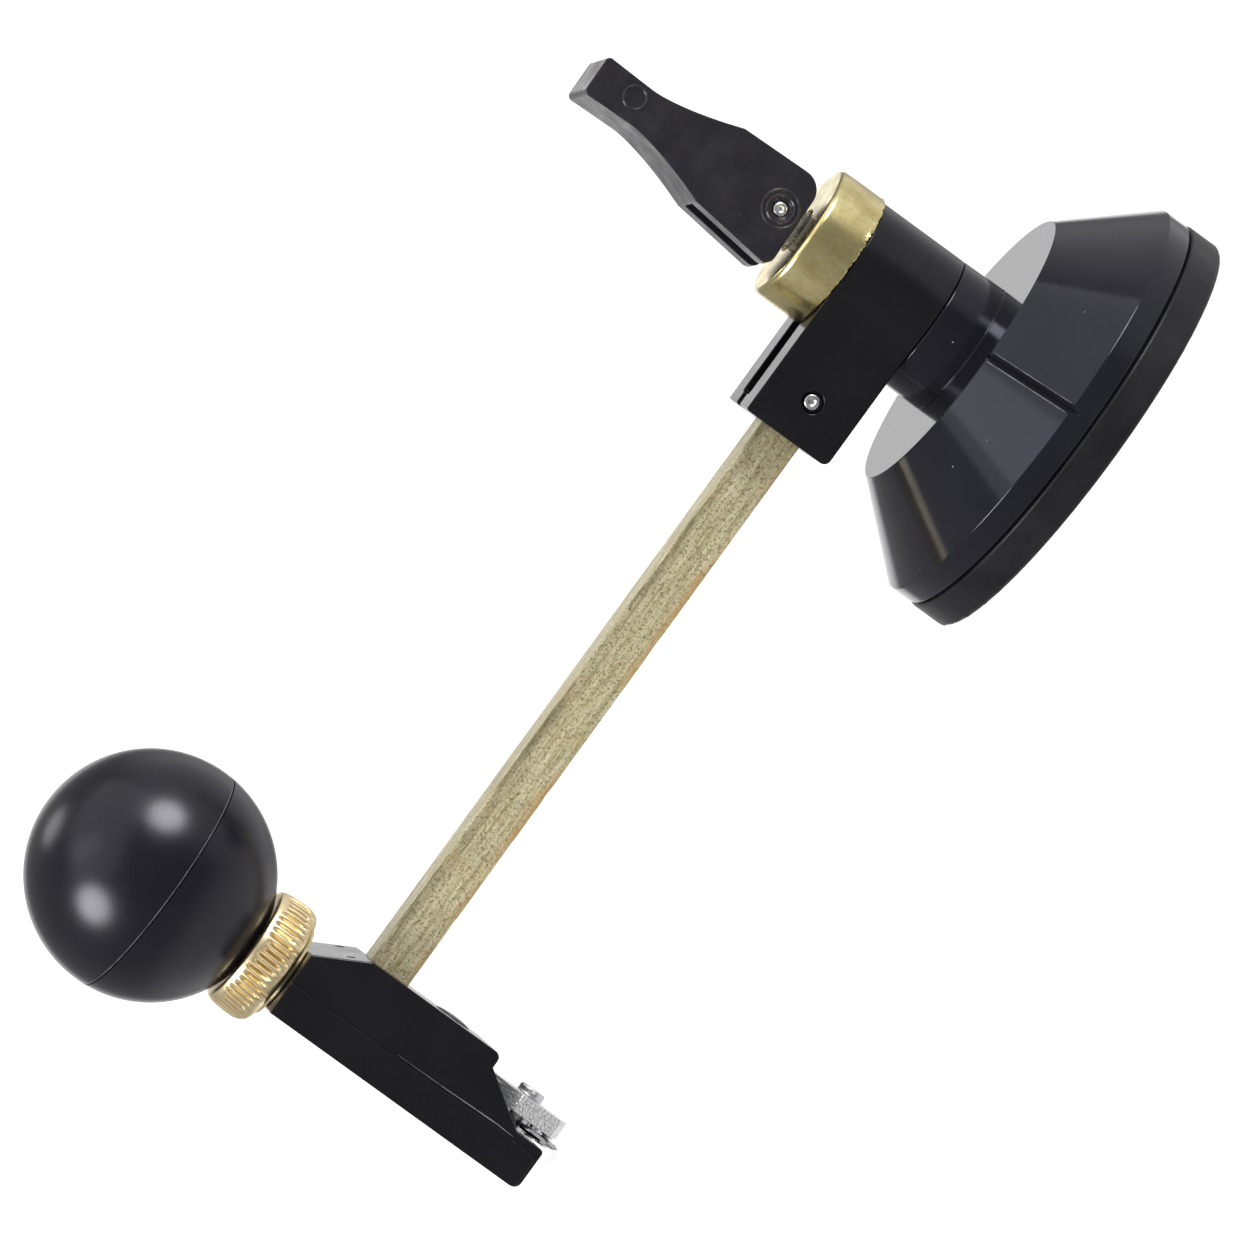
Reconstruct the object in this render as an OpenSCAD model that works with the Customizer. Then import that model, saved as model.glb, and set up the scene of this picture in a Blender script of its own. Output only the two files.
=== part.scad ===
// Circle glass cutter: a suction base with a locking lever, a swivelling arm with a square rod, and a sliding
// cutter head with a ball handle and a turret of six cutting wheels. Millimetres, +Z up. The origin is the
// centre of the suction disc's underside, on the swivel axis; the rod points along -X.

/* [Suction base] */
// Diameter of the rubber suction disc
disc_d = 55.3; // [48:0.1:66.5]
// Height of the disc's edge
disc_edge_h = 4.3; // [3.6:0.1:6]
// Depth of the hollow under the disc
dish_h = 1.2; // [0.6:0.1:2]
// Width of the flat sealing lip
lip_w = 4; // [3:0.5:6]
// Height of the housing's straight rim
rim_h = 3.2; // [2.4:0.1:5]
// Height of the housing's cone
cone_h = 10.2; // [8:0.1:16]
// Diameter of the cone at its top
cone_top_d = 37.2; // [30:0.1:42]
// Wall of the housing
housing_wall = 2.2; // [1.6:0.1:3]
// Diameter of the neck under the swivel block
neck_d = 17.4; // [15.5:0.1:22]
// Height of the neck
neck_h = 5.8; // [4:0.1:10]
// Width of the index groove down the cone
groove_w = 0.9; // [0.5:0.1:1.4]

/* [Swivel block and rod] */
// Diameter of the spindle that the block turns on
spindle_d = 11.6; // [10.5:0.1:14]
// Diameter of the block's hub
hub_d = 17.2; // [16:0.1:22]
// Height of the block
block_h = 11.8; // [10:0.1:16]
// Thickness of the block's arm
arm_t = 15; // [12:0.5:16]
// Swivel axis to the end of the arm
arm_reach = 20.7; // [19:0.1:30]
// Side of the square rod
rod_side = 5.5; // [4:0.1:6.6]
// Swivel axis to the knob's axis: the largest cutting radius less the wheel's offset
reach = 106.3; // [75:0.1:200]
// Diameter of the pin through the arm and the rod
rod_pin_d = 2; // [1.5:0.1:2.5]
// Width of the channel along the top of the arm
channel_w = 5; // [3:0.1:6]

/* [Collar] */
// Diameter of the brass collar
collar_d = 17.8; // [16.5:0.1:22]
// Height of the collar
collar_h = 6.3; // [5:0.1:9]
// Thickness of the collar's lid
collar_lid = 1.8; // [1.2:0.1:2.4]
// Chamfer around the collar's top
collar_chamfer = 0.7; // [0.3:0.1:1]

/* [Lever] */
// Length of the lever from its foot to its tip
lever_len = 29.9; // [26:0.1:50]
// Thickness of the lever
lever_t = 9; // [7:0.1:11]
// Width of the slot between its cheeks
fork_w = 3.6; // [3.2:0.1:4.2]
// Pin to the lever's toe side, which the lever lies on when it is locked
toe_out = 5.5; // [4.6:0.1:6.5]
// Pin to the lever's heel side
heel_out = 6.4; // [5:0.1:7.5]
// Rounding of the toe
toe_r = 2.5; // [2:0.1:2.6]
// Rounding of the heel
heel_r = 1.2; // [0.6:0.1:2.2]
// Foot to the lever's pin
pin_up = 2.7; // [2.6:0.1:3.4]
// Foot to the shoulder
shoulder_up = 11.6; // [10.5:0.1:15]
// Width at the shoulder
shoulder_w = 10.5; // [9:0.1:11]
// Foot to the narrowest place of the neck
waist_up = 23; // [19:0.1:25]
// Width there
waist_w = 4.9; // [4:0.1:7]
// Width of the tip
tip_w = 5.3; // [4:0.1:9]
// Gap under the lever when it stands up
lever_gap = 1.1; // [0.8:0.1:1.5]
// Turn of the lever about the swivel axis
lever_turn = 10; // [-45:1:45]
// Diameter of the lever's pin
lever_pin_d = 1.8; // [1.4:0.1:2.2]
// Diameter of the pull stud
pull_stud_d = 5; // [4.4:0.1:5.4]

/* [Cutter head] */
// Thickness of the head across the rod
head_t = 17; // [15:0.5:22]
// Knob axis to the head's outer face
head_out = 4.7; // [4.4:0.1:8]
// Knob axis to the head's inner face
head_in = 7.2; // [6.4:0.1:10]
// Rod's centre to the top of the head
head_up = 9.7; // [8.5:0.1:14]
// Height of the sloping shoulder at the top
head_slope_h = 6.5; // [4:0.1:6.8]
// Depth of that shoulder along the rod
head_slope_w = 3.5; // [1.5:0.1:4]
// Gap under the head's outer wall
head_foot = 2.9; // [2.4:0.1:4]
// Thickness of that wall, beside the turret
head_wall = 5.6; // [4.5:0.1:6]
// Depth of the step above the turret
head_step = 1.8; // [1:0.1:2.4]
// Cheek of the head beside the turret
cheek_t = 1.5; // [1.2:0.1:1.8]
// Height of the raised band on the head's two sides
band_h = 0.25; // [0.1:0.05:0.5]

/* [Knob and lock nut] */
// Diameter of the ball
ball_d = 30; // [24:0.5:38]
// Diameter of the knob's stud
knob_stud_d = 4.8; // [4:0.1:5.8]
// Diameter of the lock nut
nut_d = 15.8; // [13:0.1:17]
// Height of the lock nut
nut_h = 5.9; // [5:0.1:8]
// Knurls around the nut
nut_knurls = 40; // [24:1:48]

/* [Turret] */
// Radius of the turret plate's corners
plate_r = 6.15; // [6:0.05:6.3]
// Thickness of the plate
plate_t = 2.3; // [2:0.1:2.8]
// Turn of the plate's corners from the wheels
plate_turn = 15; // [0:1:30]
// Turret's centre to each wheel's axle
axle_ring_r = 4.5; // [4.4:0.05:4.6]
// Diameter of a cutting wheel
wheel_d = 4.2; // [3.6:0.1:4.2]
// Thickness of a cutting wheel
wheel_t = 0.8; // [0.6:0.1:1]
// Diameter of a wheel's axle
axle_d = 1; // [0.8:0.05:1.1]
// Height of the lowest wheel above the disc's underside
wheel_ride = 0.3; // [0.1:0.1:1]
// Length of the spacer behind the turret
spacer_l = 1.7; // [1.6:0.1:2.2]

/* [Fits] */
// Gap around a turning fit
running = 0.05; // [0.02:0.01:0.1]
// Gap around a sliding fit
sliding = 0.08; // [0.04:0.01:0.1]
// End gap where one piece turns on another
end_gap = 0.1; // [0.05:0.05:0.2]
// Gap where pieces only pass each other
pass_gap = 0.35; // [0.3:0.05:0.5]

/* [Hidden] */

wheel_count = 6;
fine = 96;      // facets shown around large round pieces
small = 48;     // and around small ones
far = 300;      // longer than any cut needs

// Suction base, from the bottom up
rim_r = disc_d / 2 - 0.15;
rim_z = disc_edge_h;
cone_z = rim_z + rim_h;
cone_top_z = cone_z + cone_h;
neck_top_z = cone_top_z + neck_h;
cavity_r = rim_r - housing_wall - 0.5;
cavity_top_z = cone_top_z - housing_wall;
edge_break = 0.4;

// Foot of the pull stud, held in the disc's boss
foot_r = 6;
foot_t = 1.2;
foot_z = dish_h + 4;
boss_skin = 2.2;
boss_r = foot_r + boss_skin;
boss_top_z = foot_z + foot_t + 3.2;
membrane_top_z = disc_edge_h - 0.3;
moulded_gap = 0.1;
rivet_r = 1.5;

// Swivel block
block_z = neck_top_z + end_gap;
block_top_z = block_z + block_h;
rod_z = block_z + block_h / 2;
rod_start_x = -(spindle_d / 2 + running + 2);
rod_pin_x = (rod_start_x - arm_reach) / 2 - 1.2;
rod_end_x = -reach - head_out + 0.1;
pin_recess_d = rod_pin_d + 0.8;
pin_recess_h = 0.9;
channel_end_x = -arm_reach + 1.7;
channel_depth = (block_h - rod_side) / 2 - 1.3;
notch_w = channel_w * 0.5;

// Collar and spindle
collar_z = block_top_z + end_gap;
collar_top_z = collar_z + collar_h;
spindle_top_z = collar_top_z - collar_lid;
stud_bore_r = pull_stud_d / 2 + sliding;
lid_bore_r = stud_bore_r + 0.35;

// Lever, drawn with its pin at the origin and its foot down
lever_pin_z = collar_top_z + lever_gap + pin_up;
fork_top = shoulder_up - pin_up - 0.3;
stud_flat_t = fork_w - 0.6;
stud_flat_z = lever_pin_z - max(toe_out, heel_out) - 0.4;
stud_top_z = lever_pin_z + 2.3;
lever_pin_l = lever_t - 0.4;
tip_break = 0.8;

// Cutter head
head_out_x = -reach - head_out;
head_in_x = -reach + head_in;
head_top_z = rod_z + head_up;
wall_x = head_out_x + head_wall;
turret_z = wheel_ride + wheel_d / 2 + axle_ring_r;
step_z = turret_z + plate_r + 2 * pass_gap;
head_corner = 0.8;
pad_disc_r = 2;
pad_disc_h = 0.4;
pad_disc_z = (rod_z + step_z) / 2 - 1.8;
rod_top_z = rod_z + rod_side / 2;

// Clamp pad, insert, stud, nut and ball, on the knob's axis
clamp_pad_r = knob_stud_d / 2 - 0.2;
clamp_pad_h = 0.8;
clamp_pad_z = rod_top_z + end_gap;
stud_tip_z = clamp_pad_z + clamp_pad_h + end_gap;
insert_r = knob_stud_d / 2 + 1.1;
insert_z = rod_top_z + 1.3;
insert_top_z = head_top_z - 0.2;
nut_z = head_top_z + end_gap;
nut_top_z = nut_z + nut_h;
ball_sunk = 1.2;
ball_z = nut_top_z - ball_sunk + ball_d / 2;
stud_sunk = ball_d * 0.36;
knurl_bottom_z = nut_z + 1.2;
knurl_depth = 0.35;
nut_lip_h = 0.7;
nut_core_r = nut_d / 2 - knurl_depth - 0.1;
nut_neck_r = nut_core_r - 0.6;
nut_dish_r = nut_core_r - 0.5;
dish_depth = ball_sunk + 0.5;

// Turret, from the head's wall towards the rod's root
plate_x = wall_x + spacer_l;
plate_in_x = plate_x + plate_t;
wheel_x = wall_x + spacer_l / 2;
screw_r = 1.2;
screw_head_r = 1.7;
screw_head_h = 1;
screw_tip_x = head_out_x + 1.5;
spacer_r = axle_ring_r - wheel_d / 2 - 0.3;
flange_r = 0.8;
flange_h = (spacer_l - wheel_t) / 2 - 0.1;
axle_root = 1.8;
axle_head_h = 0.2;

// Points of an arc about c, from angle a0 to a1
function arc(c, r, a0, a1, steps = 8) =
    [for (i = [0:steps]) let (a = a0 + (a1 - a0) * i / steps) [c[0] + r * cos(a), c[1] + r * sin(a)]];

// Half of the lever's width at height u above its foot, between the shoulder and the tip
function lever_half(u) = u < waist_up
    ? waist_w / 2 + (shoulder_w - waist_w) / 2 * pow((waist_up - u) / (waist_up - shoulder_up), 1.5)
    : waist_w / 2 + (tip_w - waist_w) / 2 * (u - waist_up) / (lever_len - waist_up);

// A cylinder along +X from x0 to x1
module rod_x(x0, x1, r, facets = small) {
    translate([x0, 0, 0]) rotate([0, 90, 0]) cylinder(h = x1 - x0, r = r, $fn = facets);
}

// A cylinder along Y, centred
module rod_y(l, r) {
    rotate([90, 0, 0]) cylinder(h = l, r = r, center = true, $fn = small);
}

module suction_disc() {
    color([0.09, 0.09, 0.1])
    rotate_extrude($fn = fine)
        polygon([
            [0, dish_h], [disc_d / 2 - 2 * lip_w, dish_h], [disc_d / 2 - lip_w, 0],
            [disc_d / 2 - edge_break, 0], [disc_d / 2, edge_break], [disc_d / 2, rim_z - edge_break / 2],
            [disc_d / 2 - edge_break / 2, rim_z],
            [cavity_r + 0.3, rim_z], [cavity_r, membrane_top_z], [boss_r + 1.5, membrane_top_z],
            [boss_r, membrane_top_z + 1.5], [boss_r, boss_top_z],
            [pull_stud_d / 2 + moulded_gap, boss_top_z],
            [pull_stud_d / 2 + moulded_gap, foot_z + foot_t + moulded_gap],
            [foot_r + moulded_gap, foot_z + foot_t + moulded_gap], [foot_r + moulded_gap, foot_z - moulded_gap],
            [0, foot_z - moulded_gap],
        ]);
}

module index_groove() {
    slope_r = rim_r - cone_top_d / 2;
    slope = atan2(cone_h, slope_r);
    slope_l = norm([cone_h, slope_r]);
    side = groove_w / sqrt(2);
    rotate([0, 0, -87])
    translate([cone_top_d / 2, 0, cone_top_z]) rotate([0, slope, 0])
    translate([slope_l / 2 + 0.6, 0, 0]) rotate([45, 0, 0])
        cube([slope_l + 2.4, side, side], center = true);
}

module cup_housing() {
    color([0.13, 0.13, 0.15])
    difference() {
        rotate_extrude($fn = fine)
            polygon([
                [stud_bore_r, cavity_top_z], [cone_top_d / 2 - housing_wall, cavity_top_z],
                [cavity_r, cone_z], [cavity_r, rim_z],
                [rim_r - edge_break, rim_z], [rim_r, rim_z + edge_break], [rim_r, cone_z],
                [cone_top_d / 2, cone_top_z], [neck_d / 2 + 0.2, cone_top_z], [neck_d / 2, cone_top_z + 1],
                [neck_d / 2 - 0.1, neck_top_z], [spindle_d / 2, neck_top_z],
                [spindle_d / 2, spindle_top_z], [stud_bore_r, spindle_top_z],
            ]);
        index_groove();
    }
}

module brass_collar() {
    color([0.74, 0.62, 0.34])
    rotate_extrude($fn = fine)
        polygon([
            [spindle_d / 2, collar_z], [collar_d / 2, collar_z], [collar_d / 2, collar_top_z - collar_chamfer],
            [collar_d / 2 - collar_chamfer, collar_top_z], [lid_bore_r, collar_top_z],
            [lid_bore_r, spindle_top_z], [spindle_d / 2, spindle_top_z],
        ]);
}

module foot_plate() {
    color([0.7, 0.7, 0.72])
    translate([0, 0, foot_z])
    difference() {
        cylinder(h = foot_t, r = foot_r, $fn = small);
        translate([0, 0, -1]) cylinder(h = foot_t + 2, r = rivet_r, $fn = small);
    }
}

module pull_stud() {
    color([0.72, 0.72, 0.74])
    rotate([0, 0, lever_turn])
    difference() {
        union() {
            translate([0, 0, foot_z]) cylinder(h = foot_t, r = rivet_r, $fn = small);
            translate([0, 0, foot_z + foot_t])
                cylinder(h = stud_top_z - foot_z - foot_t, d = pull_stud_d, $fn = small);
        }
        for (side = [-1, 1])
            translate([-pull_stud_d, side * (stud_flat_t + pull_stud_d) / 2 - pull_stud_d / 2, stud_flat_z])
                cube([2 * pull_stud_d, pull_stud_d, stud_top_z]);
        translate([0, 0, lever_pin_z]) rod_y(2 * lever_t, lever_pin_d / 2);
    }
}

module lever_pin() {
    color([0.8, 0.8, 0.82])
    rotate([0, 0, lever_turn]) translate([0, 0, lever_pin_z]) rod_y(lever_pin_l, lever_pin_d / 2);
}

module lever_outline() {
    rise = 10;
    toe_side = [for (i = [0:rise])
        let (u = shoulder_up + (lever_len - tip_break - shoulder_up) * i / rise) [lever_half(u), u - pin_up]];
    heel_side = [for (i = [rise:-1:0]) [-toe_side[i][0], toe_side[i][1]]];
    tip_z = lever_len - pin_up;
    polygon(concat(
        arc([toe_out - toe_r, toe_r - pin_up], toe_r, -90, 0),
        toe_side,
        [[tip_w / 2 - tip_break, tip_z], [-tip_w / 2 + tip_break, tip_z]],
        heel_side,
        arc([heel_r - heel_out, heel_r - pin_up], heel_r, 180, 270)
    ));
}

module lever() {
    color([0.12, 0.12, 0.13])
    rotate([0, 0, lever_turn]) translate([0, 0, lever_pin_z])
    difference() {
        rotate([90, 0, 0]) linear_extrude(height = lever_t, center = true) lever_outline();
        translate([-heel_out - 1, -fork_w / 2, -pin_up - 1])
            cube([toe_out + heel_out + 2, fork_w, fork_top + pin_up + 1]);
        rod_y(2 * lever_t, lever_pin_d / 2 + running);
    }
}

module pivot_block() {
    color([0.11, 0.11, 0.12])
    difference() {
        union() {
            translate([0, 0, block_z]) cylinder(h = block_h, d = hub_d, $fn = fine);
            translate([-arm_reach, -arm_t / 2, block_z]) cube([arm_reach, arm_t, block_h]);
        }
        translate([0, 0, block_z - 1]) cylinder(h = block_h + 2, r = spindle_d / 2 + running, $fn = fine);
        translate([-arm_reach - 1, -rod_side / 2, rod_z - rod_side / 2])
            cube([arm_reach + 1 + rod_start_x, rod_side, rod_side]);
        translate([channel_end_x, -channel_w / 2, block_top_z - channel_depth])
            cube([-channel_end_x - collar_d / 2 + 1, channel_w, channel_depth + 1]);
        translate([-arm_reach - 1, -notch_w / 2, block_top_z - channel_depth / 2])
            cube([channel_end_x + arm_reach + 2, notch_w, channel_depth]);
        translate([rod_pin_x, 0, rod_z]) rod_y(far, rod_pin_d / 2);
        for (side = [-1, 1])
            translate([rod_pin_x, side * arm_t / 2, rod_z]) rod_y(2 * pin_recess_h, pin_recess_d / 2);
    }
}

module rod() {
    color([0.62, 0.57, 0.4])
    difference() {
        translate([rod_end_x, -rod_side / 2, rod_z - rod_side / 2])
            cube([rod_start_x - rod_end_x, rod_side, rod_side]);
        translate([rod_pin_x, 0, rod_z]) rod_y(far, rod_pin_d / 2);
    }
}

module rod_pin() {
    color([0.78, 0.78, 0.8])
    translate([rod_pin_x, 0, rod_z]) rod_y(arm_t - 0.4, rod_pin_d / 2);
}

module head_outline() {
    c = head_corner;
    polygon(concat(
        [[head_out_x, head_top_z], [head_out_x, head_foot + c]],
        arc([head_out_x + c, head_foot + c], c, 180, 270, 4),
        arc([wall_x - c, head_foot + c], c, -90, 0, 4),
        [[wall_x, turret_z], [head_in_x - head_step, step_z]],
        arc([head_in_x - c, step_z + c], c, -90, 0, 4),
        [[head_in_x, head_top_z - head_slope_h], [head_in_x - head_slope_w, head_top_z]]
    ));
}

// The two thicker strips beside the head's outer face
module head_bands() {
    translate([head_out_x, -head_t / 2, head_foot + head_corner])
        cube([head_wall - 0.4, head_t, head_top_z - head_slope_h - head_foot - head_corner]);
}

module head_body() {
    color([0.1, 0.1, 0.11])
    difference() {
        union() {
            rotate([90, 0, 0])
                linear_extrude(height = head_t - 2 * band_h, center = true) head_outline();
            head_bands();
            translate([0, 0, pad_disc_z]) rod_x(head_in_x - 1, head_in_x + pad_disc_h, pad_disc_r);
        }
        // pocket of the turret
        translate([wall_x, -head_t / 2 + cheek_t, -1])
            cube([far, head_t - 2 * cheek_t, step_z + 1]);
        // way of the rod
        translate([head_out_x - 1, -rod_side / 2 - sliding, rod_z - rod_side / 2 - sliding])
            cube([head_out + head_in + 2, rod_side + 2 * sliding, rod_side + 2 * sliding]);
        // ways of the clamp pad and the insert
        translate([-reach, 0, rod_z]) cylinder(h = far, r = knob_stud_d / 2 + running, $fn = small);
        translate([-reach, 0, insert_z]) cylinder(h = insert_top_z - insert_z, r = insert_r, $fn = small);
        translate([-reach, 0, insert_top_z - 0.5]) cylinder(h = far, r = insert_r, $fn = small);
        translate([0, 0, turret_z]) rod_x(screw_tip_x, wall_x + 1, screw_r);
    }
}

module thread_insert() {
    color([0.76, 0.65, 0.36])
    translate([-reach, 0, insert_z])
    difference() {
        cylinder(h = insert_top_z - insert_z, r = insert_r, $fn = small);
        translate([0, 0, -1]) cylinder(h = far, r = knob_stud_d / 2 + running, $fn = small);
    }
}

module clamp_pad() {
    color([0.76, 0.65, 0.36])
    translate([-reach, 0, clamp_pad_z]) cylinder(h = clamp_pad_h, r = clamp_pad_r, $fn = small);
}

module knob_stud() {
    color([0.7, 0.7, 0.72])
    translate([-reach, 0, stud_tip_z])
        cylinder(h = ball_z - ball_d / 2 + stud_sunk - stud_tip_z, d = knob_stud_d, $fn = small);
}

module ball_knob() {
    color([0.1, 0.1, 0.12])
    difference() {
        translate([-reach, 0, ball_z]) sphere(d = ball_d, $fn = fine);
        translate([-reach, 0, ball_z - ball_d / 2 - 1])
            cylinder(h = stud_sunk + 1, d = knob_stud_d, $fn = small);
    }
}

// The nut's knurled band, a saw-edged prism
module nut_band() {
    half_step = 180 / nut_knurls;
    translate([0, 0, knurl_bottom_z])
        linear_extrude(height = nut_top_z - nut_lip_h - knurl_bottom_z)
            polygon([for (i = [0:2 * nut_knurls - 1]) let (r = nut_d / 2 - (i % 2) * knurl_depth)
                [r * cos(i * half_step), r * sin(i * half_step)]]);
}

module lock_nut() {
    color([0.83, 0.67, 0.36])
    translate([-reach, 0, 0])
    difference() {
        union() {
            nut_band();
            rotate_extrude($fn = fine)
                polygon([
                    [0, nut_z], [nut_neck_r, nut_z], [nut_core_r, nut_z + 0.6],
                    [nut_core_r, nut_top_z], [0, nut_top_z],
                ]);
        }
        rotate_extrude($fn = fine)
            polygon([
                [0, nut_z - 1], [knob_stud_d / 2 + running, nut_z - 1],
                [knob_stud_d / 2 + running, nut_top_z - dish_depth], [nut_dish_r, nut_top_z],
                [nut_dish_r, nut_top_z + 1], [0, nut_top_z + 1],
            ]);
    }
}

module turret_screw() {
    color([0.75, 0.75, 0.77])
    translate([0, 0, turret_z])
    difference() {
        union() {
            rod_x(screw_tip_x, plate_in_x + end_gap + 0.5, screw_r);
            rod_x(plate_in_x + end_gap, plate_in_x + end_gap + screw_head_h, screw_head_r);
        }
        translate([plate_in_x + end_gap + screw_head_h, 0, 0])
            cube([1, 2 * screw_head_r + 1, 0.5], center = true);
    }
}

module turret_spacer() {
    color([0.6, 0.6, 0.62])
    translate([0, 0, turret_z])
    difference() {
        rod_x(wall_x, plate_x - end_gap, spacer_r);
        rod_x(wall_x - 1, plate_x + 1, screw_r);
    }
}

// Places one copy of its child on each wheel's axle, wheel 1 lowest
module at_wheel(i) {
    translate([0, 0, turret_z]) rotate([360 * (i - 1) / wheel_count, 0, 0])
        translate([0, 0, -axle_ring_r]) children();
}

module turret() {
    color([0.68, 0.68, 0.7])
    difference() {
        translate([plate_x, 0, turret_z]) rotate([plate_turn, 0, 0]) rotate([0, 90, 0])
            cylinder(h = plate_t, r = plate_r, $fn = wheel_count);
        translate([0, 0, turret_z]) rod_x(plate_x - 1, plate_in_x + 1, screw_r + running);
        for (i = [1:wheel_count]) at_wheel(i) rod_x(plate_x - 1, plate_x + axle_root, axle_d / 2);
    }
}

module wheel_axles() {
    color([0.8, 0.8, 0.82])
    for (i = [1:wheel_count]) at_wheel(i) {
        rod_x(wheel_x - wheel_t / 2 - end_gap / 2 - axle_head_h, plate_x + axle_root, axle_d / 2);
        rod_x(plate_x - flange_h, plate_x, flange_r);
        rod_x(wheel_x - wheel_t / 2 - end_gap / 2 - axle_head_h, wheel_x - wheel_t / 2 - end_gap / 2, flange_r);
    }
}

module wheel(i) {
    color([0.85, 0.85, 0.87])
    at_wheel(i) translate([wheel_x, 0, 0]) rotate([0, 90, 0])
        rotate_extrude($fn = small)
            polygon([
                [axle_d / 2 + running, -wheel_t / 2], [wheel_d / 2 - wheel_t / 2, -wheel_t / 2],
                [wheel_d / 2, 0], [wheel_d / 2 - wheel_t / 2, wheel_t / 2],
                [axle_d / 2 + running, wheel_t / 2],
            ]);
}

suction_disc();
cup_housing();
brass_collar();
foot_plate();
pull_stud();
lever_pin();
lever();
pivot_block();
rod();
rod_pin();
head_body();
thread_insert();
clamp_pad();
knob_stud();
ball_knob();
lock_nut();
turret_screw();
turret_spacer();
turret();
wheel_axles();
for (i = [1:wheel_count])
    wheel(i);
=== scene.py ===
import math
import random

import bmesh
import bpy
from mathutils import Matrix, Vector, noise


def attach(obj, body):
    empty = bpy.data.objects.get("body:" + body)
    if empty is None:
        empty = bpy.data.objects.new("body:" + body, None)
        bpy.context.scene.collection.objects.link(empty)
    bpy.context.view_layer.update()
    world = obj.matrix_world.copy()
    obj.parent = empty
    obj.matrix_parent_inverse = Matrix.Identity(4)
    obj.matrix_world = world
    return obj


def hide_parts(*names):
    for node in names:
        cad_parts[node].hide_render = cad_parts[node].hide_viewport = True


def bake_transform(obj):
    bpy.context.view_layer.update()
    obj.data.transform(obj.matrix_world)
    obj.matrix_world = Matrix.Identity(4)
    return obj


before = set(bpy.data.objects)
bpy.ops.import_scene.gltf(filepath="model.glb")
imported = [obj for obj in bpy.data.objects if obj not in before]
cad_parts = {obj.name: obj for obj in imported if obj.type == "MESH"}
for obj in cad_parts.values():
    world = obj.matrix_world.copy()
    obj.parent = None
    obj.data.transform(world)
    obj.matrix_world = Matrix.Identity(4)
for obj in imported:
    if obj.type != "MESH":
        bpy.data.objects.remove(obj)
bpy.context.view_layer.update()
mm = 0.001
print("frame loaded")

# places that several pieces share, in millimetres
pinHeight = 45.6      # lever pin above the disc's underside
leverTurn = 10        # degrees about the swivel axis
rodHeight = 29.5
armReach = 106.3      # swivel axis to knob axis
turretHeight = 6.9
screwStart = -109.5   # left end of the turret's screw


# outlines and meshes

def roundOff(corners, steps=5):
    # corners are (x, y, radius); gives back the outline with every corner rounded
    outline = []
    for i, (x, y, radius) in enumerate(corners):
        here = Vector((x, y))
        if radius <= 0:
            outline.append((x, y))
            continue
        before = Vector(corners[i - 1][:2]) - here
        after = Vector(corners[(i + 1) % len(corners)][:2]) - here
        half = before.angle(after) / 2
        back = min(radius / math.tan(half), before.length * 0.49, after.length * 0.49)
        middle = here + (before.normalized() + after.normalized()).normalized() * back / math.cos(half)
        first, last = here + before.normalized() * back - middle, here + after.normalized() * back - middle
        start = math.atan2(first.y, first.x)
        turn = (math.atan2(last.y, last.x) - start + math.pi) % (2 * math.pi) - math.pi
        for k in range(steps + 1):
            angle = start + turn * k / steps
            outline.append((middle.x + first.length * math.cos(angle), middle.y + first.length * math.sin(angle)))
    return outline


def arcPoints(x, y, radius, start, end, steps=8):
    angles = [math.radians(start + (end - start) * k / steps) for k in range(steps + 1)]
    return [(x + radius * math.cos(a), y + radius * math.sin(a)) for a in angles]


def spin(outline, segments=96, shape=None):
    # spins a closed outline of (radius, height) about Z; shape may move a point, given (radius, angle, height)
    mesh = bmesh.new()
    rings = []
    for radius, height in outline:
        if radius < 1e-6:
            rings.append([mesh.verts.new((0, 0, height * mm))])
            continue
        ring = []
        for k in range(segments):
            angle = 2 * math.pi * k / segments
            r, a, z = shape(radius, angle, height) if shape else (radius, angle, height)
            ring.append(mesh.verts.new((r * mm * math.cos(a), r * mm * math.sin(a), z * mm)))
        rings.append(ring)
    for i, ring in enumerate(rings):
        other = rings[(i + 1) % len(rings)]
        if len(ring) == 1 and len(other) == 1:
            continue
        for k in range(segments):
            n = (k + 1) % segments
            corners = [ring[k % len(ring)], ring[n % len(ring)], other[n % len(other)], other[k % len(other)]]
            mesh.faces.new(list(dict.fromkeys(corners)))
    bmesh.ops.recalc_face_normals(mesh, faces=mesh.faces)
    return mesh


def extrude(outline, low, high, across="y"):
    # a prism: the outline lies in XZ and runs along Y, or in XY and runs along Z, or in YZ and runs along X
    place = {"y": lambda u, v, w: (u, w, v), "z": lambda u, v, w: (u, v, w), "x": lambda u, v, w: (w, u, v)}[across]
    mesh = bmesh.new()
    ends = [[mesh.verts.new(Vector(place(u, v, w)) * mm) for u, v in outline] for w in (low, high)]
    mesh.faces.new(ends[0])
    mesh.faces.new(ends[1])
    for i in range(len(outline)):
        n = (i + 1) % len(outline)
        mesh.faces.new([ends[0][i], ends[0][n], ends[1][n], ends[1][i]])
    bmesh.ops.recalc_face_normals(mesh, faces=mesh.faces)
    return mesh


def boxOutline(u0, u1, v0, v1, radius=0):
    return roundOff([(u0, v0, radius), (u1, v0, radius), (u1, v1, radius), (u0, v1, radius)])


def moved(mesh, matrix):
    bmesh.ops.transform(mesh, matrix=matrix, verts=mesh.verts)
    return mesh


def alongY(mesh, x, z):
    # what was spun about Z now points to -Y, from y 0 at that x and z
    return moved(mesh, Matrix.Translation((x * mm, 0, z * mm)) @ Matrix.Rotation(math.radians(90), 4, "X"))


def alongX(mesh, x, z):
    return moved(mesh, Matrix.Translation((x * mm, 0, z * mm)) @ Matrix.Rotation(math.radians(90), 4, "Y"))


def underKnob(mesh):
    return moved(mesh, Matrix.Translation((-armReach * mm, 0, 0)))


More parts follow.
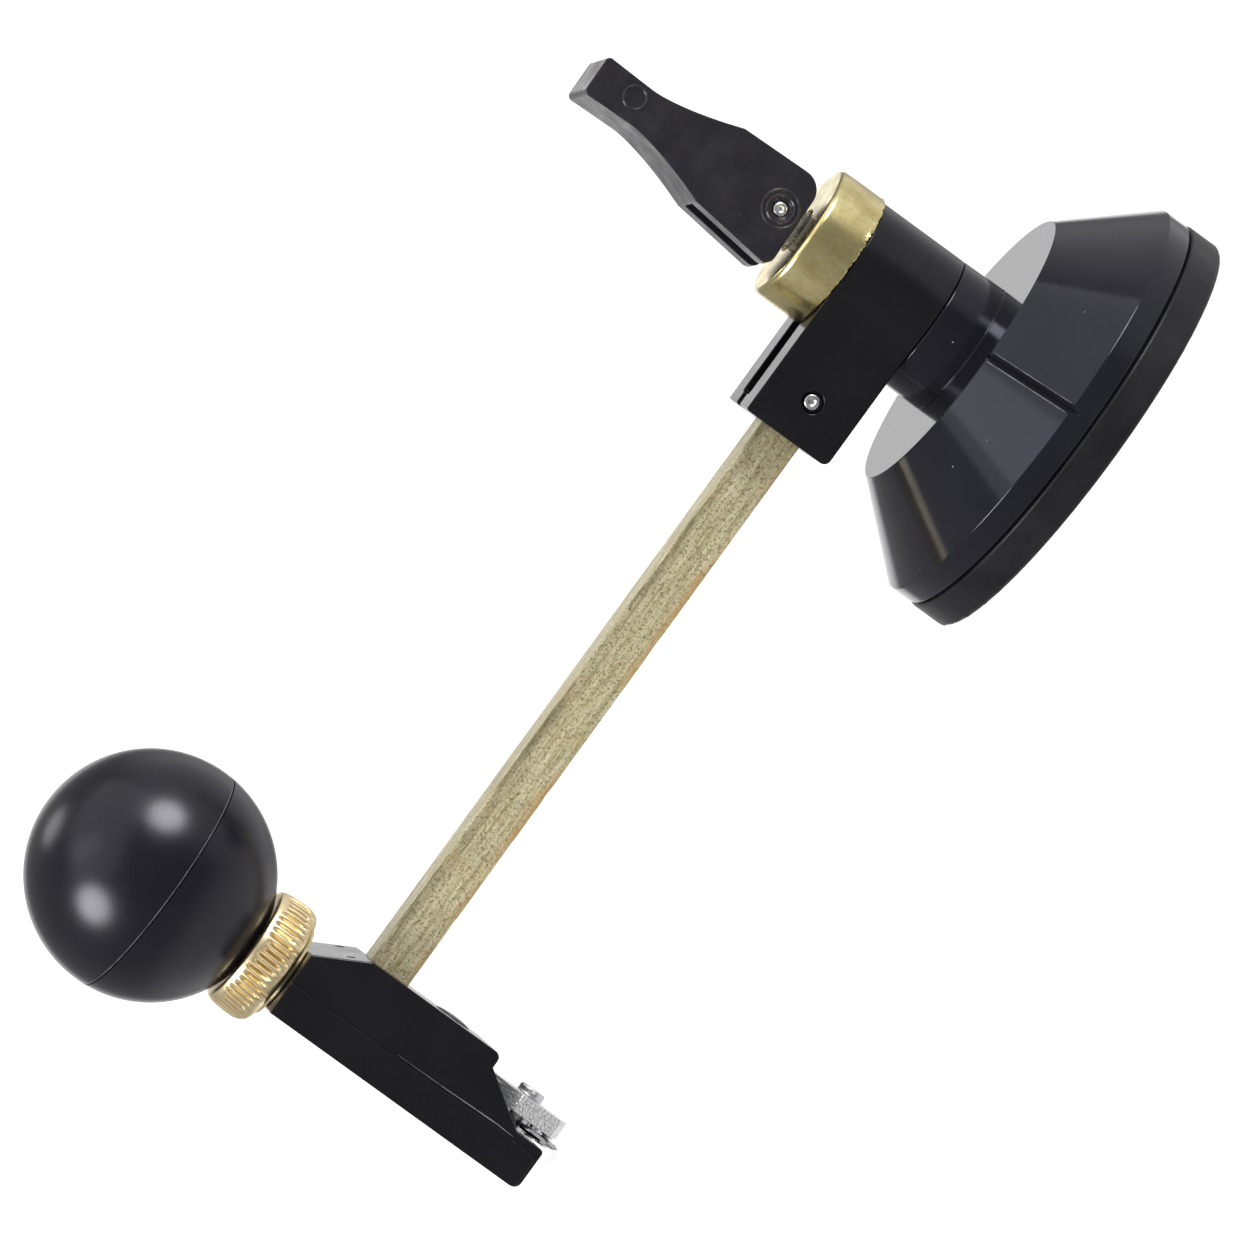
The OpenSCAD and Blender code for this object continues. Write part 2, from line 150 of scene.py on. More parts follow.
def bore(radius, low, high, segments):
    # a round cutter about Z
    return spin([(0, low), (radius, low), (radius, high), (0, high)], segments)


def makePiece(name, mesh):
    data = bpy.data.meshes.new(name)
    mesh.to_mesh(data)
    mesh.free()
    piece = bpy.data.objects.new(name, data)
    bpy.context.scene.collection.objects.link(piece)
    return piece


def bakeModifiers(piece):
    graph = bpy.context.evaluated_depsgraph_get()
    graph.update()
    old = piece.data
    piece.data = bpy.data.meshes.new_from_object(piece.evaluated_get(graph))
    piece.modifiers.clear()
    bpy.data.meshes.remove(old)


def combine(piece, tools, how="DIFFERENCE"):
    # cuts, joins or intersects the piece with each tool mesh, then forgets the tools
    for tool in tools:
        other = makePiece("tool", tool)
        step = piece.modifiers.new("combine", "BOOLEAN")
        step.operation, step.solver, step.object = how, "EXACT", other
        bakeModifiers(piece)
        bpy.data.objects.remove(other)
    return piece


def mergeClose(piece, distance):
    # cuts leave points almost on top of each other, and those would hold a bevel back
    mesh = bmesh.new()
    mesh.from_mesh(piece.data)
    bmesh.ops.remove_doubles(mesh, verts=mesh.verts, dist=distance * mm)
    bmesh.ops.dissolve_degenerate(mesh, edges=mesh.edges, dist=distance * mm)
    mesh.to_mesh(piece.data)
    mesh.free()


def soften(piece, width, segments=3, angle=30):
    mergeClose(piece, 0.01)
    step = piece.modifiers.new("soften", "BEVEL")
    step.width, step.segments = width * mm, segments
    step.limit_method, step.angle_limit = "ANGLE", math.radians(angle)
    step.use_clamp_overlap = True
    step.miter_outer = "MITER_ARC"
    bakeModifiers(piece)
    mergeClose(piece, 0.002)
    return piece


def softened(mesh, width):
    # the same for a mesh that is still to be joined to a piece
    piece = soften(makePiece("tool", mesh), width, 3, 34)
    mesh = bmesh.new()
    mesh.from_mesh(piece.data)
    bpy.data.objects.remove(piece)
    return mesh


def place(piece, material, body, slot, replaced=(), sharp=38, weighted=True):
    # last step for every piece: finish, shading, and what it rides on and stands for
    piece.data.materials.clear()
    piece.data.materials.append(material)
    piece.data.shade_smooth()
    piece.data.set_sharp_from_angle(angle=math.radians(sharp))
    if weighted:
        step = piece.modifiers.new("flatFaces", "WEIGHTED_NORMAL")
        step.keep_sharp = True
    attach(piece, body)
    if replaced:
        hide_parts(*replaced)
    return piece


# shader groups

def wire(tree, kind, links=None, **values):
    # adds a node; links feed its inputs, values set its other sockets and settings
    node = tree.nodes.new(kind)
    for key, value in values.items():
        if hasattr(node, key):
            setattr(node, key, value)
    for key, value in (links or {}).items():
        socket = node.inputs[key]
        if isinstance(value, bpy.types.NodeSocket):
            tree.links.new(value, socket)
        else:
            socket.default_value = value
    return node


def startGroup(name, inputs, outputs):
    # each input has a number or a vector to start with, or None for a vector that is always linked
    tree = bpy.data.node_groups.new(name, "ShaderNodeTree")
    for label, value in inputs.items():
        kind = "NodeSocketFloat" if isinstance(value, float) else "NodeSocketVector"
        socket = tree.interface.new_socket(label, in_out="INPUT", socket_type=kind)
        if value is not None:
            socket.default_value = value
    for label in outputs:
        tree.interface.new_socket(label, in_out="OUTPUT", socket_type="NodeSocketFloat")
    return tree, tree.nodes.new("NodeGroupInput"), tree.nodes.new("NodeGroupOutput")


def scaledNoise(tree, vector, scale, detail=3.0, roughness=0.5):
    return wire(tree, "ShaderNodeTexNoise", {"Vector": vector, "Scale": scale, "Detail": detail,
                                             "Roughness": roughness}).outputs["Fac"]


def remap(tree, value, low, high, outLow=0.0, outHigh=1.0):
    return wire(tree, "ShaderNodeMapRange", {"Value": value, "From Min": low, "From Max": high,
                                             "To Min": outLow, "To Max": outHigh}).outputs["Result"]


def arithmetic(tree, operation, a, b):
    return wire(tree, "ShaderNodeMath", {0: a, 1: b}, operation=operation).outputs[0]


def buildMouldedSkin():
    # fine grain, slow unevenness and small specks of a moulded surface
    tree, source, result = startGroup(
        "mouldedSkin", {"Vector": None, "Grain Scale": 3000.0, "Cloud Scale": 120.0, "Speck Scale": 380.0},
        ("Height", "Cloud", "Specks"))
    vector = source.outputs["Vector"]
    grain = scaledNoise(tree, vector, source.outputs["Grain Scale"], 2.0)
    cloud = scaledNoise(tree, vector, source.outputs["Cloud Scale"], 4.0, 0.6)
    spots = wire(tree, "ShaderNodeTexVoronoi", {"Vector": vector, "Scale": source.outputs["Speck Scale"]})
    near = remap(tree, spots.outputs["Distance"], 0.06, 0.02)
    chosen = wire(tree, "ShaderNodeSeparateColor", {"Color": spots.outputs["Color"]}).outputs["Red"]
    picked = remap(tree, chosen, 0.86, 0.88)
    tree.links.new(grain, result.inputs["Height"])
    tree.links.new(remap(tree, cloud, 0.3, 0.7), result.inputs["Cloud"])
    tree.links.new(arithmetic(tree, "MULTIPLY", near, picked), result.inputs["Specks"])
    return tree


def buildDrawnMetal():
    # streaks along one direction, pits, and slow tarnish; Stretch is how much each axis is squeezed
    tree, source, result = startGroup(
        "drawnMetal", {"Vector": None, "Stretch": (1.0, 1.0, 1.0), "Streak Scale": 2200.0, "Pit Scale": 2600.0,
                       "Tarnish Scale": 160.0}, ("Streaks", "Pits", "Tarnish", "Height"))
    vector = source.outputs["Vector"]
    squeezed = wire(tree, "ShaderNodeVectorMath", {0: vector, 1: source.outputs["Stretch"]},
                    operation="MULTIPLY").outputs[0]
    streaks = scaledNoise(tree, squeezed, source.outputs["Streak Scale"], 5.0, 0.65)
    pits = scaledNoise(tree, vector, source.outputs["Pit Scale"], 3.0, 0.7)
    tarnish = scaledNoise(tree, vector, source.outputs["Tarnish Scale"], 5.0, 0.6)
    tree.links.new(remap(tree, streaks, 0.3, 0.7), result.inputs["Streaks"])
    tree.links.new(remap(tree, pits, 0.50, 0.64), result.inputs["Pits"])
    tree.links.new(remap(tree, tarnish, 0.5, 0.72), result.inputs["Tarnish"])
    tree.links.new(arithmetic(tree, "ADD", streaks, arithmetic(tree, "MULTIPLY", pits, -0.6)),
                   result.inputs["Height"])
    return tree


def buildBarShadeAndTarnish():
    # a dark streaky band of painted shade under the front face's upper edge, and a brown tarnish band along its lower
    # edge; both lie on the front face only
    tree, source, result = startGroup(
        "barShadeAndTarnish", {"Vector": None, "Front": -0.0026, "Upper Edge": 0.03225, "Lower Edge": 0.02675,
                    "Width": 0.0016}, ("Upper Shade Band", "Lower Band"))
    vector = source.outputs["Vector"]
    parts = wire(tree, "ShaderNodeSeparateXYZ", {"Vector": vector})
    front = wire(tree, "ShaderNodeMath", {0: parts.outputs["Y"], 1: source.outputs["Front"]}, operation="LESS_THAN")
    along = wire(tree, "ShaderNodeVectorMath", {0: vector, 1: (0.16, 1.0, 1.0)}, operation="MULTIPLY").outputs[0]
    broken = remap(tree, scaledNoise(tree, along, 900, 5.0, 0.7), 0.38, 0.62)
    patchy = remap(tree, scaledNoise(tree, along, 260, 4.0, 0.65), 0.46, 0.62)
    for name, edge, pattern in (("Upper Shade Band", "Upper Edge", broken), ("Lower Band", "Lower Edge", patchy)):
        away = arithmetic(tree, "SUBTRACT", parts.outputs["Z"], source.outputs[edge])
        away = wire(tree, "ShaderNodeMath", {0: away}, operation="ABSOLUTE").outputs[0]
        near = arithmetic(tree, "SUBTRACT", 1.0, arithmetic(tree, "DIVIDE", away, source.outputs["Width"]))
        near = arithmetic(tree, "MAXIMUM", near, 0.0)
        band = arithmetic(tree, "MULTIPLY", arithmetic(tree, "MULTIPLY", near, pattern), front.outputs[0])
        tree.links.new(band, result.inputs[name])
    return tree


def buildCastGrain():
    # the sandy skin of a small die casting
    tree, source, result = startGroup("castGrain", {"Vector": None, "Scale": 2600.0}, ("Height", "Pits"))
    vector = source.outputs["Vector"]
    lumps = wire(tree, "ShaderNodeTexVoronoi", {"Vector": vector, "Scale": source.outputs["Scale"]},
                 feature="SMOOTH_F1").outputs["Distance"]
    fine = scaledNoise(tree, vector, source.outputs["Scale"], 3.0, 0.7)
    height = arithmetic(tree, "ADD", lumps, fine)
    tree.links.new(height, result.inputs["Height"])
    tree.links.new(remap(tree, height, 0.95, 0.6), result.inputs["Pits"])
    return tree


mouldedSkin = buildMouldedSkin()
drawnMetal = buildDrawnMetal()
castGrain = buildCastGrain()
barShadeAndTarnish = buildBarShadeAndTarnish()


def useGroup(tree, group, links):
    node = tree.nodes.new("ShaderNodeGroup")
    node.node_tree = group
    for key, value in links.items():
        if isinstance(value, bpy.types.NodeSocket):
            tree.links.new(value, node.inputs[key])
        else:
            node.inputs[key].default_value = value
    return node


def newMaterial(name, metallic=0.0, specular=0.5):
    material = bpy.data.materials.new(name)
    material.use_nodes = True
    tree = material.node_tree
    shader = tree.nodes["Principled BSDF"]
    shader.inputs["Metallic"].default_value = metallic
    shader.inputs["Specular IOR Level"].default_value = specular
    vector = tree.nodes.new("ShaderNodeTexCoord").outputs["Object"]
    return material, tree, shader, vector


def mixColours(tree, mask, a, b):
    node = tree.nodes.new("ShaderNodeMix")
    node.data_type = "RGBA"
    for key, value in (("Factor", mask), ("A", a), ("B", b)):
        socket = next(s for s in node.inputs if s.name == key and s.type == ("VALUE" if key == "Factor" else "RGBA"))
        if isinstance(value, bpy.types.NodeSocket):
            tree.links.new(value, socket)
        else:
            socket.default_value = (*value, 1.0) if key != "Factor" else value
    return next(s for s in node.outputs if s.type == "RGBA")


def addBump(tree, shader, height, strength, distance):
    bump = wire(tree, "ShaderNodeBump", {"Height": height, "Strength": strength, "Distance": distance * mm})
    tree.links.new(bump.outputs["Normal"], shader.inputs["Normal"])


def blackPlastic(name, s):
    material, tree, shader, vector = newMaterial(name, 0.0, s["specular"])
    shader.inputs["Specular Tint"].default_value = (*s["tint"], 1.0)
    skin = useGroup(tree, mouldedSkin, {"Vector": vector, "Grain Scale": s["grainScale"],
                                        "Cloud Scale": s["cloudScale"], "Speck Scale": s["speckScale"]})
    toned = mixColours(tree, skin.outputs["Cloud"], s["dark"], s["light"])
    specks = arithmetic(tree, "MULTIPLY", skin.outputs["Specks"], s["speckAmount"])
    tree.links.new(mixColours(tree, specks, toned, s["speckColour"]), shader.inputs["Base Color"])
    tree.links.new(remap(tree, skin.outputs["Cloud"], 0, 1, s["roughness"][0], s["roughness"][1]),
                   shader.inputs["Roughness"])
    addBump(tree, shader, skin.outputs["Height"], s["bump"], 0.02)
    return material


def brassMetal(title, s):
    material, tree, shader, vector = newMaterial(title, s["metallic"])
    metal = useGroup(tree, drawnMetal, {"Vector": vector, "Stretch": s["stretch"], "Streak Scale": s["streakScale"],
                                        "Pit Scale": s["pitScale"], "Tarnish Scale": s["tarnishScale"]})
    streaked = mixColours(tree, metal.outputs["Streaks"], s["dark"], s["light"])
    pitMask = arithmetic(tree, "MULTIPLY", metal.outputs["Pits"], s["pitAmount"])
    pitted = mixColours(tree, pitMask, streaked, s["pitColour"])
    # on the rod, the upper band mixes in painted shade and the lower band brown tarnish
    if "bands" in s:
        shadeAndTarnish = useGroup(tree, barShadeAndTarnish, {"Vector": vector})
        for name, colour in (("Upper Shade Band", s["bandShadeColour"]), ("Lower Band", s["bandBrown"])):
            pitted = mixColours(tree, arithmetic(tree, "MULTIPLY", shadeAndTarnish.outputs[name], s["bands"]), pitted, colour)
    stain = arithmetic(tree, "MULTIPLY", metal.outputs["Tarnish"], s["tarnishAmount"])
    tree.links.new(mixColours(tree, stain, pitted, s["tarnishColour"]), shader.inputs["Base Color"])
    tree.links.new(remap(tree, metal.outputs["Streaks"], 0, 1, s["roughness"][0], s["roughness"][1]),
                   shader.inputs["Roughness"])
    addBump(tree, shader, metal.outputs["Height"], s["bump"], s["bumpDepth"])
    return material


plain = dict(grainScale=2600, cloudScale=120, speckScale=420, speckAmount=0.2, speckColour=(0.05, 0.05, 0.06),
             bump=0.05)
plasticLooks = {
    "housingPlastic": dict(
        plain, dark=(0.0045, 0.0045, 0.0068), light=(0.0070, 0.0070, 0.0100), roughness=(0.08, 0.14), specular=0.34,
        tint=(0.84, 0.84, 1.0), grainScale=1500, cloudScale=90, speckAmount=0.9, speckColour=(0.22, 0.22, 0.25),
        bump=0.03),
    "blockPlastic": dict(
        plain, dark=(0.0026, 0.0026, 0.0032), light=(0.0042, 0.0042, 0.0052), roughness=(0.19, 0.26), specular=0.34,
        tint=(0.92, 0.92, 1.0), cloudScale=140),
    "leverPlastic": dict(
        plain, dark=(0.0085, 0.0078, 0.0105), light=(0.0125, 0.0115, 0.0150), roughness=(0.20, 0.38), specular=0.42,
        tint=(0.94, 0.92, 1.0), cloudScale=340, speckColour=(0.08, 0.08, 0.09), bump=0.04),
    "headPlastic": dict(
        plain, dark=(0.0026, 0.0024, 0.0032), light=(0.0044, 0.0040, 0.0052), roughness=(0.19, 0.26), specular=0.34,
        tint=(0.94, 0.92, 1.0)),
    # a light plastic for thin ridges along edges and the ball's seam: painted highlights
    "paintedHighlightPlastic": dict(
        plain, dark=(0.035, 0.035, 0.040), light=(0.15, 0.15, 0.165), roughness=(0.30, 0.40), specular=0.4,
        tint=(0.94, 0.92, 1.0), cloudScale=500, speckColour=(0.3, 0.3, 0.3)),
    "ballPlastic": dict(
        plain, dark=(0.0026, 0.0024, 0.0048), light=(0.0044, 0.0041, 0.0074), roughness=(0.25, 0.29), specular=0.36,
        tint=(0.93, 0.92, 1.0), grainScale=1800, cloudScale=70, speckScale=300, bump=0.006),
    "discRubber": dict(
        plain, dark=(0.0050, 0.0050, 0.0060), light=(0.0085, 0.0085, 0.0100), roughness=(0.34, 0.48), specular=0.22,
        tint=(0.93, 0.93, 1.0), grainScale=2200, cloudScale=180, speckScale=260, speckAmount=0.9,
        speckColour=(0.24, 0.24, 0.26), bump=0.12),
}
housingPlastic, blockPlastic, leverPlastic, headPlastic, paintedHighlightPlastic, ballPlastic, discRubber = (
    blackPlastic(name, look) for name, look in plasticLooks.items())

brassLooks = {
    "rodBrass": dict(
        metallic=0.55, stretch=(0.06, 1, 1), streakScale=2800, pitScale=4200, tarnishScale=260, pitAmount=1.0,
        tarnishAmount=0.3, dark=(0.30, 0.26, 0.13), light=(0.68, 0.62, 0.43), pitColour=(0.16, 0.13, 0.05),
        # the dark band colour is painted shade under the front face's upper edge; the brown band colour is tarnish
        tarnishColour=(0.46, 0.31, 0.12), bands=0.95, bandShadeColour=(0.10, 0.085, 0.04), bandBrown=(0.40, 0.23, 0.08),
        roughness=(0.46, 0.34), bump=0.35, bumpDepth=0.06),
    "collarBrass": dict(
        metallic=1.0, stretch=(1, 1, 0.25), streakScale=420, pitScale=1500, tarnishScale=150, pitAmount=0.2,
        tarnishAmount=0.45, dark=(0.62, 0.52, 0.23), light=(0.88, 0.77, 0.41), pitColour=(0.30, 0.23, 0.09),
        tarnishColour=(0.32, 0.22, 0.08), roughness=(0.26, 0.17), bump=0.05, bumpDepth=0.05),
    "nutBrass": dict(
        metallic=1.0, stretch=(1, 1, 0.3), streakScale=900, pitScale=1500, tarnishScale=260, pitAmount=0.1,
        tarnishAmount=0.25, dark=(0.80, 0.63, 0.34), light=(1.0, 0.86, 0.56), pitColour=(0.45, 0.32, 0.13),
        tarnishColour=(0.52, 0.35, 0.16), roughness=(0.38, 0.28), bump=0.1, bumpDepth=0.05),
    "platedSteel": dict(
        metallic=1.0, stretch=(1, 1, 1), streakScale=1200, pitScale=1800, tarnishScale=400, pitAmount=0.25,
        tarnishAmount=0.3, dark=(0.52, 0.52, 0.54), light=(0.72, 0.72, 0.74), pitColour=(0.3, 0.3, 0.31),
        tarnishColour=(0.34, 0.32, 0.30), roughness=(0.34, 0.22), bump=0.25, bumpDepth=0.05),
    "groundSteel": dict(
        metallic=1.0, stretch=(0.2, 1, 1), streakScale=1600, pitScale=2200, tarnishScale=500, pitAmount=0.1,
        tarnishAmount=0.2, dark=(0.45, 0.45, 0.47), light=(0.66, 0.66, 0.68), pitColour=(0.25, 0.25, 0.26),
        tarnishColour=(0.3, 0.29, 0.28), roughness=(0.26, 0.18), bump=0.08, bumpDepth=0.03),
}
rodBrass, collarBrass, nutBrass, platedSteel, groundSteel = (
    brassMetal(name, look) for name, look in brassLooks.items())


def castMetal(name):
    s = dict(scale=4200, bright=(0.90, 0.90, 0.91), pit=(0.42, 0.42, 0.43), bump=0.9, depth=0.08)
    material, tree, shader, vector = newMaterial(name, 1.0)
    cast = useGroup(tree, castGrain, {"Vector": vector, "Scale": s["scale"]})
    tree.links.new(mixColours(tree, cast.outputs["Pits"], s["bright"], s["pit"]), shader.inputs["Base Color"])
    tree.links.new(remap(tree, cast.outputs["Pits"], 0, 1, 0.32, 0.6), shader.inputs["Roughness"])
    addBump(tree, shader, cast.outputs["Height"], s["bump"], s["depth"])
    return material


turretCasting = castMetal("turretCasting")
print("materials made")


# suction disc

disc = dict(radius=27.65, edge=4.3, dish=1.2, lip=4.0, innerEdge=24.8, boss=8.2, flash=0.07, sectors=12)


def ragged(radius, angle, height):
    # the moulded edge is a little uneven low down, with a few torn bits of flash
    out = 0.0
    if radius > 27.0 and height < 1.0:
        wave = noise.noise(Vector((math.cos(angle) * 22, math.sin(angle) * 22, 3.1)))
        nick = max(0.0, noise.noise(Vector((math.cos(angle) * 40, math.sin(angle) * 40, 8.7))) - 0.38)
        out = disc["flash"] * wave * (1 - height) + 0.5 * nick * (1 - height)
        out = min(out, 0.12)
    return radius + out, angle, height


def makeDisc():
    d = disc
    rim = roundOff([(d["innerEdge"] - 1.2, 1.9, 0), (d["innerEdge"] - 1.2, d["dish"], 0.2),
                    (d["radius"] - d["lip"], 0, 0.3), (d["radius"] - 0.25, 0, 0.35), (d["radius"], 0.5, 0.4),
                    (d["radius"], d["edge"] - 0.02, 0.34), (d["innerEdge"], d["edge"], 0.1),
                    (d["innerEdge"] - 0.5, 3.9, 0)])
    place(makePiece("suctionRim", spin(rim, 360, ragged)), discRubber, "base", "rubber", ["suction_disc"])
    boss = roundOff([(0, d["dish"], 0), (d["boss"] + 1.2, d["dish"], 0), (d["boss"] + 1.2, 4.0, 0.6),
                     (d["boss"], 5.0, 0.8), (d["boss"], 9.6, 0.5), (2.6, 9.6, 0.2), (2.6, 6.5, 0), (6.1, 6.5, 0),
                     (6.1, 5.1, 0), (0, 5.1, 0)])
    place(makePiece("suctionBoss", spin(boss, 96)), discRubber, "stem", "rubber")
    inner, outer = d["boss"] + 1.0, d["innerEdge"] - 1.0
    for k in range(d["sectors"]):
        middle = 2 * math.pi * k / d["sectors"]
        half = math.pi / d["sectors"]
        mesh = bmesh.new()
        rows = []
        for i in range(13):
            radius = (inner + (outer - inner) * i / 12) * mm
            angles = [middle - half + 2 * half * j / 4 for j in range(5)]
            rows.append([[mesh.verts.new((radius * math.cos(a), radius * math.sin(a), z * mm)) for a in angles]
                         for z in (d["dish"], 3.95)])
        for i in range(12):
            for j in range(4):
                for level in (0, 1):
                    mesh.faces.new([rows[i][level][j], rows[i + 1][level][j], rows[i + 1][level][j + 1],
                                    rows[i][level][j + 1]])
            for j in (0, 4):
                mesh.faces.new([rows[i][0][j], rows[i + 1][0][j], rows[i + 1][1][j], rows[i][1][j]])
        for i in (0, 12):
            for j in range(4):
                mesh.faces.new([rows[i][0][j], rows[i][0][j + 1], rows[i][1][j + 1], rows[i][1][j]])
        bmesh.ops.recalc_face_normals(mesh, faces=mesh.faces)
        piece = makePiece(f"membrane{k + 1}", mesh)
        piece.data.materials.append(discRubber)
        piece.data.shade_smooth()
        piece.data.set_sharp_from_angle(angle=math.radians(40))
        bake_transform(piece)


makeDisc()
print("suction disc made")


# housing, neck and spindle

housing = dict(rim=27.5, rimTop=7.5, coneTop=18.6, coneTopHeight=17.7, neck=8.7, neckTop=23.5, spindle=5.8,
               spindleTop=40.0, grooveWidth=1.3, grooveAngle=-87)


def makeHousing():
    h = housing
    outline = roundOff([
        (2.58, 15.5, 0), (16.4, 15.5, 0.5), (24.8, 7.5, 0.5), (24.8, 4.3, 0), (h["rim"] - 0.35, 4.3, 0.1),
        (h["rim"], 4.72, 0.3), (h["rim"], h["rimTop"], 0.28), (h["coneTop"], h["coneTopHeight"], 0.3),
        (h["neck"], h["coneTopHeight"], 0.12),
        (h["neck"] - 0.1, h["neckTop"], 0.22), (h["spindle"], h["neckTop"], 0), (h["spindle"], h["spindleTop"], 0),
        (2.58, h["spindleTop"], 0)], 6)
    piece = makePiece("housing", spin(outline, 256))
    slope = Vector((h["rim"] - h["coneTop"], h["rimTop"] - h["coneTopHeight"]))
    length = slope.length + 1.7
    side = h["grooveWidth"] / math.sqrt(2)
    wedge = extrude(boxOutline(-side / 2, side / 2, -side / 2, side / 2), 0, length, "x")
    moved(wedge, Matrix.Rotation(math.radians(45), 4, "X"))
    lean = math.atan2(-slope.y, slope.x)
    downSlope = (Matrix.Rotation(math.radians(h["grooveAngle"]), 4, "Z")
                 @ Matrix.Translation(((h["coneTop"] - 0.3) * mm, 0, (h["coneTopHeight"] + 0.25) * mm))
                 @ Matrix.Rotation(lean, 4, "Y"))
    moved(wedge, downSlope)
    combine(piece, [wedge])
    soften(piece, 0.12, 3, 32)
    place(piece, housingPlastic, "base", "housing_plastic", ["cup_housing"])
    # the groove's two edges are a little raised, in a light plastic that paints their highlights
    for name, y0, y1 in (("grooveEdgeLeft", -0.72, -0.60), ("grooveEdgeRight", 0.60, 0.68)):
        ridge = moved(extrude(boxOutline(y0, y1, -0.3, 0.09, 0.04), 0.7, length - 1.9, "x"), downSlope)
        place(makePiece(name, ridge), paintedHighlightPlastic, "base", "housing_plastic", weighted=False)


makeHousing()
print("housing made")


# collar

collar = dict(radius=8.9, low=35.5, high=41.8, round=0.75, bore=2.93, spindle=5.8, lid=1.8, burr=0.13)


def burred(radius, angle, height):
    # the lower edge was left with a ragged burr on one side
    if radius > 8.5 and height < 36.2:
        facing = max(0.0, math.cos(angle - math.radians(-52))) ** 1.5
        spot = Vector((math.cos(angle) * 14, math.sin(angle) * 14, height * 1.5))
        rough = noise.noise(spot) + 0.6 * noise.noise(spot * 2.7)
        near = 1 - (height - 35.5) / 0.7
        radius += collar["burr"] * facing * near * max(-0.5, rough)
        if height < 35.9:
            height += 0.22 * facing * max(0.0, noise.noise(spot * 1.7 + Vector((4, 0, 0))))
    return radius, angle, height


def makeCollar():
    c = collar
    sides = [(c["radius"], c["low"] + 0.12 * k) for k in range(1, 8)]
    outline = (
        roundOff([(c["spindle"], c["low"], 0), (c["radius"] - 0.08, c["low"], 0)])
        + sides
        + roundOff([(c["radius"], c["high"] - 2.0, 0), (c["radius"] - 0.06, c["high"], c["round"]),
                    (c["bore"], c["high"], 0.25), (c["bore"], c["high"] - c["lid"], 0),
                    (c["spindle"], c["high"] - c["lid"], 0)], 8))
    piece = makePiece("collar", spin(outline, 420, burred))
    place(piece, collarBrass, "base", "collar_brass", ["brass_collar"], sharp=34)


makeCollar()
print("collar made")


# swivel block

block = dict(hub=8.6, low=23.6, high=35.4, half=7.5, reach=20.7, blend=12.0, bore=5.85, channel=5.0,
             channelDepth=1.85, channelEnd=1.7, notchDepth=0.95, pinX=-15.475, pin=1.0, pinLength=14.6, pinRecess=1.4,
             recessDepth=0.9, edge=0.22)


def makeBlock():
    b = block
    rise = b["half"] + b["blend"]
    tangent = math.sqrt((b["hub"] + b["blend"]) ** 2 - rise ** 2)
    lean = math.degrees(math.atan2(tangent, rise))
    front = arcPoints(-tangent, -rise, b["blend"], 90, 90 - lean, 6)
    hub = arcPoints(0, 0, b["hub"], -90 - lean, 90 + lean, 72)[1:-1]
    back = [(x, -y) for x, y in reversed(front)]
    outline = [(-b["reach"], -b["half"])] + front + hub + back + [(-b["reach"], b["half"])]
    piece = makePiece("swivelBlock", extrude(outline, b["low"], b["high"], "z"))
    side = roundOff([(-b["reach"], b["low"], 0.9), (12, b["low"], 0), (12, b["high"], 0),
                     (-b["reach"], b["high"], 0.3)])
    combine(piece, [extrude(side, -12, 12, "y")], "INTERSECT")
    channelEnd = -b["reach"] + b["channelEnd"]
    deep, notch = b["high"] - b["channelDepth"], b["channel"] * 0.27
    recess = b["half"] - b["recessDepth"]
    combine(piece, [
        bore(b["bore"], b["low"] - 1, b["high"] + 1, 96),
        extrude(boxOutline(-2.75, 2.75, rodHeight - 2.75, rodHeight + 2.75, 0.25), -b["reach"] - 1, -7.85, "x"),
        extrude(boxOutline(channelEnd, -8.0, -b["channel"] / 2, b["channel"] / 2, 0.5), deep, b["high"] + 1, "z"),
        extrude(boxOutline(-b["reach"] - 1, channelEnd + 0.5, -notch, notch), b["high"] - b["notchDepth"],
                b["high"] + 1, "z"),
        alongY(bore(b["pin"], -12, 12, 32), b["pinX"], rodHeight),
        alongY(bore(b["pinRecess"], recess, 10, 48), b["pinX"], rodHeight),
        alongY(bore(b["pinRecess"], -10, -recess, 48), b["pinX"], rodHeight)])
    soften(piece, b["edge"], 3, 32)
    place(piece, blockPlastic, "swivel", "block_plastic", ["pivot_block"])


def pinMesh(radius, length, dimple):
    # a pin with turned ends, one of them dimpled
    half = length / 2
    return spin(roundOff([(0, -half + 0.1, 0), (radius, -half, 0.25), (radius, half - 0.02, 0.28),
                          (radius * 0.5, half + 0.05, 0.2), (radius * 0.28, half - dimple, 0.1),
                          (0, half - dimple, 0)], 4), 48)


def makeRodPin():
    piece = makePiece("rodPin", alongY(pinMesh(block["pin"], block["pinLength"], 0.14), block["pinX"], rodHeight))
    place(piece, platedSteel, "swivel", "steel", ["rod_pin"], sharp=50, weighted=False)


makeBlock()
makeRodPin()
print("swivel block made")


# rod

rod = dict(half=2.75, start=-110.9, end=-7.87, corner=0.28, dents=9)


